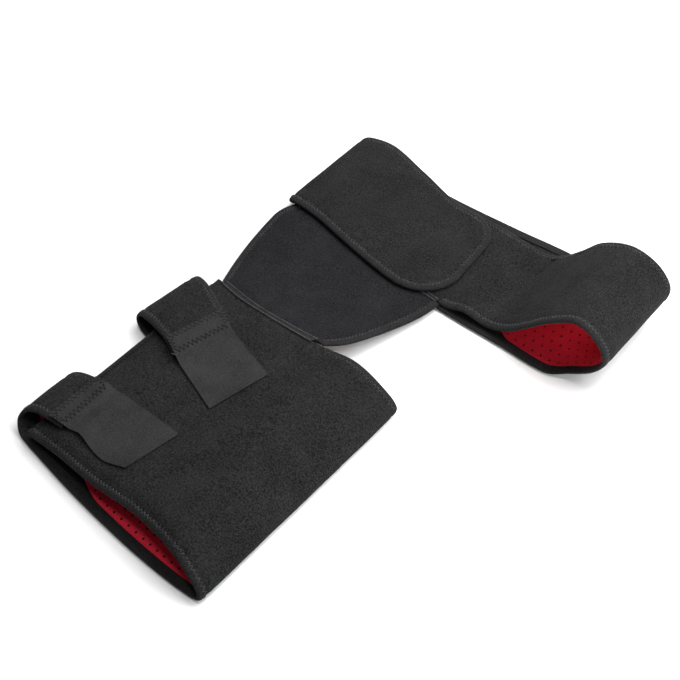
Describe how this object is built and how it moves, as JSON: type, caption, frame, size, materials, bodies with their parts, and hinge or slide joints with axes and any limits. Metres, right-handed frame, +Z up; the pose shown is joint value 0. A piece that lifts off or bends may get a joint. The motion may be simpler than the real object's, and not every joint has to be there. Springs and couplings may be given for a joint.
{
  "type": "hip brace",
  "caption": "Soft neoprene hip and thigh brace lying closed: thigh wrap with hook tabs, bridge panel and waist belt with a folded hook flap.",
  "frame": {"origin": "on the table, under the middle of the brace's bounding box", "axes": "+Z up from the table, +Y along the leg from knee to hip, +X across the leg towards the thigh wrap's fold"},
  "size_m": [0.4014, 0.5462, 0.0843],
  "materials": {
    "loop_fabric": "brushed loop-pile face of black neoprene, matt",
    "knit_fabric": "fine smooth knit over neoprene, matt",
    "binding_tape": "stretch knit binding, matt, zigzag stitched",
    "hook_patch": "fine moulded hook sheet, low sheen",
    "red_lining": "perforated foam lining, matt red"
  },
  "bodies": {
    "root": {"thigh_shell": "loop_fabric", "thigh_lining": "red_lining", "thigh_knee_binding": "binding_tape", "thigh_hip_binding": "binding_tape", "thigh_side_binding": "binding_tape", "lower_tab_shell": "loop_fabric", "lower_tab_lining": "red_lining", "lower_tab_knee_binding": "binding_tape", "lower_tab_hip_binding": "binding_tape", "lower_tab_hook": "hook_patch", "upper_tab_shell": "loop_fabric", "upper_tab_lining": "red_lining", "upper_tab_knee_binding": "binding_tape", "upper_tab_hip_binding": "binding_tape", "upper_tab_hook": "hook_patch", "belt_shell": "loop_fabric", "belt_lining": "red_lining", "belt_binding": "binding_tape", "belt_flap_hook": "hook_patch", "bridge_panel": "knit_fabric", "bridge_right_binding": "binding_tape", "bridge_left_binding": "binding_tape", "thigh_seam_tape": "binding_tape", "belt_seam_tape": "binding_tape"}
  },
  "joints": []
}
